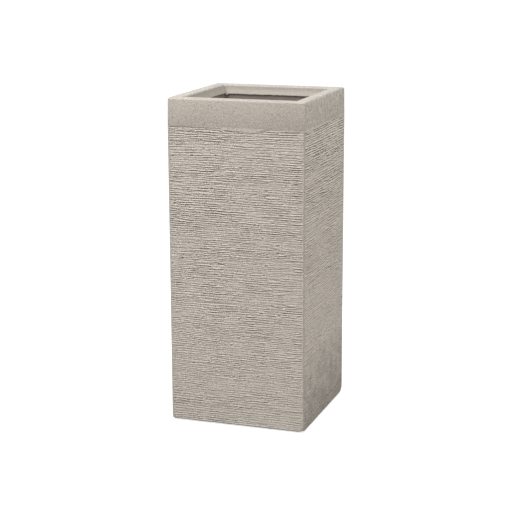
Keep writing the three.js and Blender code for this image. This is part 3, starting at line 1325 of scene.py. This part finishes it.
@dataclass
class Rim:
    """The rim: a flat flange, a lip that hangs in the mouth and a leg behind the wall.

    Attributes:
        finishes: The materials.
        tips: How the outside's corners are rounded.
        sheet: Thickness of the laminate.
        plan_radius: Radius of its corners, on the outside walls' plan.
        width: From the shell's outside to the mouth.
        coated_depth: How far down the lip the coat reaches.
        roll: How far the coat's thick lower edge stands out.
        roll_height: Height over which the coat swells to that edge.
        leg_depth: How far the leg reaches down behind the wall.
        edge_radius: Radius of the edge between flange and lip.
        flange_inset: Where the flange starts in the wall's rebate.
        lap: The flange's thickness there.
        chamfer: Of the lip's lower edge.
        cuts: Cuts along each side.
        ragged: How far the coat's lower edge wanders up.
        drip_depth: How far the drip in the back left corner hangs below the rest.
        drip_place: From the mouth's corner to the drip's middle.
        drip_width: Half the drip's width.
        uneven: How far the hand-laid surface dips.
    """

    finishes: Finishes
    tips: Tips
    sheet: float = 4 * MM
    plan_radius: float = 3 * MM
    width: float = 26 * MM
    coated_depth: float = 22 * MM
    roll: float = 1.9 * MM
    roll_height: float = 15 * MM
    leg_depth: float = 40 * MM
    edge_radius: float = 3 * MM
    flange_inset: float = 3 * MM
    lap: float = 0.95 * MM
    chamfer: float = 0.8 * MM
    cuts: int = 140
    ragged: float = 2.2 * MM
    drip_depth: float = 3.5 * MM
    drip_place: float = 7 * MM
    drip_width: float = 2.4 * MM
    uneven: float = 0.35 * MM

    def __post_init__(self) -> None:
        """Takes the rim's place from the frame."""
        low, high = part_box("rim_channel")
        self.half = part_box("outer_shell")[1].x
        self.leg = self.half - high.x
        self.low, self.top = low.z, high.z
        self.coat_bottom = self.top - self.coated_depth

    @property
    def section(self) -> list[Point]:
        """The section, from the flange's outer edge over the lip and back up the leg."""
        turn, swell = self.edge_radius, self.roll / 2
        under = self.top - self.sheet
        roll_top = self.coat_bottom + self.roll_height
        swelling = []
        for share in np.linspace(0, 1, 7)[1:]:
            height = roll_top + share * (self.coat_bottom + swell - roll_top)
            swelling.append((self.width + self.roll * float(share**1.5), height))
        return [
            (self.flange_inset, self.top - self.lap),
            (self.flange_inset, self.top),
            *line((self.flange_inset, self.top), (self.width - turn, self.top), 6),
            *arc((self.width - turn, self.top - turn), turn, 90, 180, 5)[1:],
            *line((self.width, self.top - turn), (self.width, roll_top), 3),
            *swelling,
            *arc((self.width + swell, self.coat_bottom + swell), swell, 180, 270, 4)[1:],
            (self.width, self.coat_bottom),
            *line((self.width, self.coat_bottom), (self.width, self.low + self.chamfer), 4),
            (self.width - self.chamfer, self.low),
            (self.width - self.sheet, self.low),
            (self.width - self.sheet, under),
            (self.leg + self.sheet, under),
            (self.leg + self.sheet, self.top - self.leg_depth),
            (self.leg, self.top - self.leg_depth),
            (self.leg, self.top - self.lap),
        ]

    def build(self) -> None:
        """Builds the rim."""
        plan = Plan(self.half, self.plan_radius, 4)
        rim = plan.sweep("rim_lip", self.section, is_hoop=True)
        subdivide(rim, edge_runs(rim).max(axis=1) > self.half, self.cuts)
        rim.data.polygons.foreach_set("material_index", self.finish_of_faces(rim))
        self.rag_coat(rim)
        self.lay_uneven(rim)
        self.tips.blunt(rim)
        smooth(rim)
        materials = [self.finishes.made[name] for name in ("rim", "lip", "primed", "laminate")]
        finish_piece(rim, materials, Body.PLANTER, ["rim_channel"])

    def finish_of_faces(self, rim: bpy.types.Object) -> np.ndarray:
        """Gives each face its material's number: 0 rim, 1 coated lip, 2 primed lip, 3 bare laminate."""
        middles = face_values(rim, "center")
        normals = face_values(rim, "normal")
        inset = insets(middles, self.half)
        inward = -middles[:, :2] / np.linalg.norm(middles[:, :2], axis=1, keepdims=True)
        faces_mouth = (inward * normals[:, :2]).sum(axis=1) > 0.2
        is_lip = faces_mouth & (inset > self.width - 1 * MM)
        is_top = (middles[:, 2] > self.top - self.edge_radius) & (normals[:, 2] > 0.6)
        is_top |= (middles[:, 2] > self.top - self.lap) & (normals[:, 2] > -0.5)
        is_coat = (inset > self.width - self.edge_radius) & (middles[:, 2] > self.coat_bottom - 0.01 * MM)
        is_coat &= faces_mouth | (normals[:, 2] > 0.2) | (inset > self.width)
        return np.select([is_top, is_coat, is_lip], [0, 1, 2], 3)

    def rag_coat(self, rim: bpy.types.Object) -> None:
        """Makes the coat's lower edge wander, with a drip in the back left corner."""
        spots = places(rim)
        inset = insets(spots, self.half)
        above = spots[:, 2] - self.coat_bottom
        near_edge = ease(self.roll_height - above, 0, self.roll_height) * (inset > self.width - NEAR)
        near_edge *= above > -0.01 * MM
        from_corner = spots[:, 0] + self.half - self.width - self.drip_place
        drip = np.exp(-((from_corner / self.drip_width) ** 2)) * (spots[:, 1] > 0)
        press(rim, near_edge * wander(spots, 21, 150, 420) * (1 - drip), -self.ragged, "Z")
        press(rim, near_edge**2 * drip, self.drip_depth, "Z")

    def lay_uneven(self, rim: bpy.types.Object) -> None:
        """Lets the flange and the lip's face dip a little, as hand-laid work does."""
        spots = places(rim)
        inset = insets(spots, self.half)
        rng = np.random.default_rng(22)
        rows, columns, reach = 1500, 60, 80 * MM
        dips = drift(rng, (rows, columns), (300, 14)) * 0.5 + drift(rng, (rows, columns), (60, 3)) * 0.5
        row = np.clip((way_round(spots) * (rows - 1)).astype(int), 0, rows - 1)
        down = (inset + self.top - spots[:, 2]) / reach
        column = np.clip((down * (columns - 1)).astype(int), 0, columns - 1)
        shown = ease(inset, self.flange_inset + 0.2 * MM, self.flange_inset + 4 * MM)
        press(rim, (0.5 + 0.5 * dips[row, column]) * shown, self.uneven)


@dataclass
class Base:
    """The bottom: the dished tray and the bead that seals it to the walls.

    Attributes:
        finishes: The materials.
        sheet: Thickness of the tray's edge.
        plan_radius: Radius of its corners, on the outside walls' plan.
        brim: Rounding of its brim.
        bend_radius: Outside bend under the upturned edge.
        cove_radius: Inside bend above the floor.
        floor_rise: From the tray's underside to its floor.
        seat_rise: From the underside to the plug's seat.
        sump_radius: The floor falls to the drain inside this radius.
        seat_margin: Flat round the plug's head.
        drain_radius: Radius of the drain.
        drain_edge: Rounding of the drain's edge.
        bead_hollow: How hollow the bead's face is.
        bead_steps: Faces over the bead's face.
        bead_cuts: Cuts along each side of the bead.
        bead_uneven: How far the bead is pressed in here and there.
    """

    finishes: Finishes
    sheet: float = 4 * MM
    plan_radius: float = 3 * MM
    brim: float = 0.5 * MM
    bend_radius: float = 6 * MM
    cove_radius: float = 8 * MM
    floor_rise: float = 7 * MM
    seat_rise: float = 4 * MM
    sump_radius: float = 95 * MM
    seat_margin: float = 4 * MM
    drain_radius: float = 12.5 * MM
    drain_edge: float = 0.4 * MM
    bead_hollow: float = 1.1 * MM
    bead_steps: int = 6
    bead_cuts: int = 90
    bead_uneven: float = 0.45 * MM

    def build(self) -> None:
        """Builds the tray and the bead."""
        self.build_tray()
        self.build_bead()

    def build_tray(self) -> None:
        """Builds the tray from its edge to the drain."""
        low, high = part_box("base_tray")
        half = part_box("outer_shell")[1].x
        edge = half - high.x
        bottom, floor = low.z, low.z + self.floor_rise
        inner = edge + self.sheet
        section = [
            *arc((edge + self.bend_radius, bottom + self.bend_radius), self.bend_radius, -90, 0, 6),
            (edge, high.z - self.brim),
            (edge + self.brim, high.z),
            (inner - self.brim, high.z),
            (inner, high.z - self.brim),
            *arc((inner + self.cove_radius, floor + self.cove_radius), self.cove_radius, 0, -90, 8),
        ]
        plan = Plan(half, self.plan_radius, 15)
        tray = plan.sweep("laminate_tray", section, is_hoop=False)
        around, count = plan.around, len(tray.data.vertices)
        plug_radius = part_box("drain_plug")[1].x
        drain, seat = self.drain_radius, bottom + self.seat_rise
        rings = [
            (self.sump_radius, floor),
            (plug_radius + self.seat_margin, seat),
            (drain + self.drain_edge, seat),
            (drain, seat - self.drain_edge),
            (drain, bottom + self.drain_edge),
            (drain + self.drain_edge, bottom),
        ]
        bpy.ops.object.select_all(action="DESELECT")
        bpy.ops.mesh.primitive_circle_add(vertices=around, radius=rings[0][0], location=(0, 0, floor))
        well = adopt("drain_well")
        with shaping(well, Domain.VERTICES):
            bpy.ops.transform.rotate(value=math.pi / around, orient_axis="Z", center_override=(0, 0, floor))
            for (radius, height), (next_radius, next_height) in pairwise(rings):
                scale = next_radius / radius
                down = {"value": (0, 0, next_height - height)}
                bpy.ops.mesh.extrude_edges_move(TRANSFORM_OT_translate=down)
                bpy.ops.transform.resize(value=(scale, scale, 1), center_override=(0, 0, next_height))
        hold(tray)
        well.select_set(True)
        bpy.ops.object.join()
        order = np.arange(len(tray.data.vertices))
        cove_foot = (order >= count - around) & (order < count)
        sump_edge = (order >= count) & (order < count + around)
        join_loops(tray, cove_foot, sump_edge, is_flat=True)
        order = np.arange(len(tray.data.vertices))
        join_loops(tray, order < around, order >= len(order) - around, is_flat=True)
        close_up(tray)
        smooth(tray, 30)
        finish_piece(tray, [self.finishes.made["laminate"]], Body.PLANTER, ["base_tray"])

    def build_bead(self) -> None:
        """Builds the bead, pressed uneven as a finger leaves it."""
        low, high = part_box("sealant_bead")
        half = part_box("outer_shell")[1].x
        edge = half - high.x
        toe, crest = (edge + self.sheet, low.z), (edge, high.z)
        face = line(toe, crest, self.bead_steps)[:-1]
        lean = Vector((crest[0] - toe[0], crest[1] - toe[1])).normalized()
        hollow = []
        for number, (inset, height) in enumerate(face, start=1):
            sink = self.bead_hollow * math.sin(math.pi * number / self.bead_steps)
            hollow.append((inset - sink * lean.y, height + sink * lean.x))
        section = [crest, (edge, low.z), toe, *hollow]
        bead = Plan(half, self.plan_radius, 4).sweep("sealing_bead", section, is_hoop=True)
        subdivide(bead, edge_runs(bead).max(axis=1) > half, self.bead_cuts)
        spots = places(bead)
        is_face = (spots[:, 2] > low.z + 2 * NEAR) & (insets(spots, half) > edge + 2 * NEAR)
        press(bead, wander(spots, 31, 230) * is_face, self.bead_uneven)
        smooth(bead, 50)
        finish_piece(bead, [self.finishes.made["putty"]], Body.PLANTER, ["sealant_bead"])


@dataclass
class DrainPlug:
    """The rubber plug in the drain.

    Attributes:
        finishes: The materials.
        shank_radius: The shank's radius under the head.
        taper: How much narrower its lower end is.
        neck_radius: The neck's radius.
        knob_radius: The knob's radius.
        head_height: Height of the head.
        neck_height: Height of the neck.
        seat_rise: From the tray's underside to the head.
        groove_margin: From the head's edge to the groove round its top.
        groove_width: Width of that groove.
        groove_depth: Its depth.
        edge: Rounding of the moulded edges.
        steps: Faces round it.
    """

    finishes: Finishes
    shank_radius: float = 12.2 * MM
    taper: float = 1.2 * MM
    neck_radius: float = 4.5 * MM
    knob_radius: float = 10 * MM
    head_height: float = 4 * MM
    neck_height: float = 7 * MM
    seat_rise: float = 4.3 * MM
    groove_margin: float = 3 * MM
    groove_width: float = 2.8 * MM
    groove_depth: float = 0.7 * MM
    edge: float = 0.8 * MM
    steps: int = 64

    def build(self) -> None:
        """Builds the plug: shank, head with a groove round its top, neck and knob."""
        low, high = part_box("drain_plug")
        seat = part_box("base_tray")[0].z + self.seat_rise
        head_radius = high.x
        head_top = seat + self.head_height
        knob_bottom = head_top + self.neck_height
        knob_half = (high.z - knob_bottom) / 2 * 0.84
        knob_middle = high.z - knob_half
        tip = self.shank_radius - self.taper
        shank = [(0, low.z + 0.6 * MM), (tip * 0.6, low.z + 0.6 * MM), (tip * 0.7, low.z)]
        shank += [(tip - self.edge, low.z), (tip, low.z + self.edge), (self.shank_radius, seat)]
        groove_outer = head_radius - self.groove_margin
        groove_inner, groove_floor = groove_outer - self.groove_width, head_top - self.groove_depth
        under = [(groove_outer, seat), (head_radius - self.edge, seat)]
        rim_edge = arc((-head_radius + self.edge, head_top - self.edge), self.edge, 0, 90, 4)
        head = [(-inset, height) for inset, height in rim_edge]
        groove = [(groove_outer, head_top), (groove_outer - 0.6 * MM, groove_floor)]
        groove += [(groove_inner + 0.8 * MM, groove_floor), (groove_inner, head_top - NEAR)]
        waist = self.neck_radius
        fillet = [(waist + 1.5 * MM, head_top), (waist + 0.4 * MM, head_top + 0.5 * MM)]
        neck = [(waist, head_top + 1.6 * MM), (waist, knob_bottom + 0.4 * MM)]
        start = -math.acos(waist / self.knob_radius)
        knob = []
        for angle in np.linspace(start, math.pi / 2, 12):
            knob.append((self.knob_radius * math.cos(angle), knob_middle + knob_half * math.sin(angle)))
        knob[-1] = (0, knob[-1][1])
        profile = [*shank, *under, (head_radius, seat + self.edge), *head, *groove, *fillet, *neck, *knob]
        plug = turned("rubber_plug", profile, self.steps)
        smooth(plug, 40)
        finish_piece(plug, [self.finishes.made["rubber"]], Body.PLUG, ["drain_plug"])


@dataclass
class FootPads:
    """The four rubber pads, with grip rings moulded into their undersides.

    Attributes:
        finishes: The materials.
        edge: Rounding of the lower edge.
        upper_edge: Rounding of the upper edge.
        ring_pitch: Distance between grip rings.
        ring_depth: Depth of the grooves between them.
        rings: How many grooves there are.
        steps: Faces round a pad.
    """

    finishes: Finishes
    edge: float = 1.5 * MM
    upper_edge: float = 0.6 * MM
    ring_pitch: float = 3.6 * MM
    ring_depth: float = 0.8 * MM
    rings: int = 4
    steps: int = 64

    def build(self) -> None:
        """Builds one pad and copies it under each corner."""
        nodes = [name for name in sorted(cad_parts) if name.startswith("foot_pad_")]
        low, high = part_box(nodes[0])
        radius = (high.x - low.x) / 2
        underside = []
        for ring in range(self.rings):
            middle = (ring + 0.9) * self.ring_pitch
            for across, depth in ((-0.28, 0), (-0.16, 1), (0.16, 1), (0.28, 0)):
                underside.append((middle + across * self.ring_pitch, low.z + depth * self.ring_depth))
        lower = arc((-radius + self.edge, low.z + self.edge), self.edge, -90, 0, 4)
        upper = arc((-radius + self.upper_edge, high.z - self.upper_edge), self.upper_edge, 0, 90, 3)
        side = [(-inset, height) for inset, height in [*lower, *upper]]
        pad = turned("pad", [(0, low.z), *underside, *side, (0, high.z)], self.steps)
        smooth(pad, 35)
        for node in nodes:
            corner_low, corner_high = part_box(node)
            copy = pad.copy()
            copy.data = pad.data.copy()
            bpy.context.scene.collection.objects.link(copy)
            hold(copy)
            copy.location = ((corner_low.x + corner_high.x) / 2, (corner_low.y + corner_high.y) / 2, 0)
            copy = adopt(node.replace("foot_pad", "rubber_foot"))
            finish_piece(copy, [self.finishes.made["rubber"]], Body.PLANTER, [node])
        bpy.data.objects.remove(pad)


# ---- Studio ----


@dataclass(frozen=True)
class Softbox:
    """A studio lamp that looks at the planter.

    Attributes:
        name: Its name.
        azimuth: Degrees to the right of the front, seen from above.
        elevation: Degrees above the floor.
        distance: From the planter's middle.
        size: Width of its face.
        power: In watts.
    """

    name: str
    azimuth: float
    elevation: float
    distance: float
    size: float
    power: float

    def place(self, target: Vector) -> None:
        """Adds the lamp, facing the target."""
        lamp = bpy.data.lights.new(self.name, "AREA")
        lamp.shape = "SQUARE"
        lamp.size = self.size
        lamp.energy = self.power
        stand = bpy.data.objects.new(self.name, lamp)
        bpy.context.scene.collection.objects.link(stand)
        stand.location = target + direction(self.azimuth, self.elevation) * self.distance
        stand.rotation_euler = (target - stand.location).to_track_quat("-Z", "Y").to_euler()


def direction(azimuth: float, elevation: float) -> Vector:
    """Gives the unit vector towards an azimuth and elevation in degrees; the front is at 0."""
    turn, rise = math.radians(azimuth), math.radians(elevation)
    return Vector((math.sin(turn) * math.cos(rise), -math.cos(turn) * math.cos(rise), math.sin(rise)))


@dataclass(frozen=True)
class Studio:
    """The floor, the light and the camera.

    Attributes:
        azimuth: The camera's degrees to the right of the front.
        elevation: Its degrees above the level of what it looks at.
        roll: Its degrees of roll.
        distance: From what it looks at.
        lens: Focal length in millimetres, on a 36 mm sensor.
        target: What it looks at.
        ambient: Strength of the light that comes from all round.
        floor_size: Width of the floor.
        floor_color: What the floor throws back on the planter.
        floor_glow: How much the floor is brightened to the camera alone.
        lamps: The softboxes.
    """

    azimuth: float = 18.95
    elevation: float = 13.0
    roll: float = -0.203
    distance: float = 3.1517
    lens: float = 100.31
    target: tuple[float, float, float] = (-3.2 * MM, -1.2 * MM, 340.8 * MM)
    ambient: float = 0.72
    floor_size: float = 40.0
    floor_color: Color = (0.4, 0.395, 0.385)
    floor_glow: float = 0.78
    lamps: tuple[Softbox, ...] = (
        Softbox(name="key", azimuth=-55, elevation=62, distance=3.2, size=1.2, power=100),
        Softbox(name="fill", azimuth=70, elevation=60, distance=3.0, size=1.2, power=36),
    )

    def build(self) -> None:
        """Builds all of it."""
        self.build_camera()
        self.build_floor()
        self.build_world()
        for lamp in self.lamps:
            lamp.place(Vector(self.target))
        bpy.context.scene.view_settings.view_transform = "Standard"

    def build_camera(self) -> None:
        """Puts the camera where the photograph was taken from."""
        camera = bpy.data.cameras.new("camera")
        camera.lens = self.lens
        stand = bpy.data.objects.new("camera", camera)
        bpy.context.scene.collection.objects.link(stand)
        towards = -direction(self.azimuth, self.elevation)
        stand.location = Vector(self.target) - towards * self.distance
        roll = Matrix.Rotation(math.radians(self.roll), 4, "Z")
        stand.rotation_euler = (towards.to_track_quat("-Z", "Y").to_matrix().to_4x4() @ roll).to_euler()
        bpy.context.scene.camera = stand

    def seen(self, wiring: Wiring) -> bpy.types.NodeSocket:
        """Gives 1 for the rays that show the background: camera, glossy and transmission."""
        rays = wiring.add("ShaderNodeLightPath").outputs
        seen = wiring.math("MAXIMUM", rays["Is Camera Ray"], rays["Is Glossy Ray"])
        return wiring.math("MAXIMUM", seen, rays["Is Transmission Ray"])

    def build_floor(self) -> None:
        """Lays a pale floor that is white to the camera and keeps the planter's shadow."""
        bpy.ops.object.select_all(action="DESELECT")
        bpy.ops.mesh.primitive_plane_add(size=self.floor_size)
        floor = adopt("studio_floor")
        material, wiring = start_material("pale_floor")
        matt = wiring.add("ShaderNodeBsdfDiffuse", {"Color": (*self.floor_color, 1)})
        strength = wiring.math("MULTIPLY", self.seen(wiring), self.floor_glow)
        glow = wiring.add("ShaderNodeEmission", {"Strength": strength})
        both = wiring.add("ShaderNodeAddShader", {0: matt.outputs[0], 1: glow.outputs[0]})
        wiring.add("ShaderNodeOutputMaterial", {"Surface": both.outputs[0]})
        floor.data.materials.append(material)

    def build_world(self) -> None:
        """Lights the planter evenly from all round, before a white backdrop."""
        world = bpy.data.worlds.new("studio")
        bpy.context.scene.world = world
        world.use_nodes = True
        world.node_tree.nodes.clear()
        wiring = Wiring(world.node_tree)
        spread = wiring.math("SUBTRACT", 1, self.seen(wiring))
        share = wiring.math("MULTIPLY", spread, 1 - self.ambient)
        background = wiring.add("ShaderNodeBackground", {"Strength": wiring.math("SUBTRACT", 1, share)})
        background.inputs["Color"].default_value = (1, 1, 1, 1)
        wiring.add("ShaderNodeOutputWorld", {"Surface": background.outputs[0]})


def main() -> None:
    """Builds the planter and its studio, in order."""
    logging.basicConfig(level=logging.INFO, format="%(name)s %(message)s")
    low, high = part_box("outer_shell")
    finishes = Finishes(half=high.x, top=high.z)
    finishes.build()
    tips = Tips(half=high.x, low=low.z, high=high.z)
    Studio().build()
    OuterShell(finishes, tips).build()
    Rim(finishes, tips).build()
    Base(finishes).build()
    DrainPlug(finishes).build()
    FootPads(finishes).build()


if __name__ == "__main__":
    main()
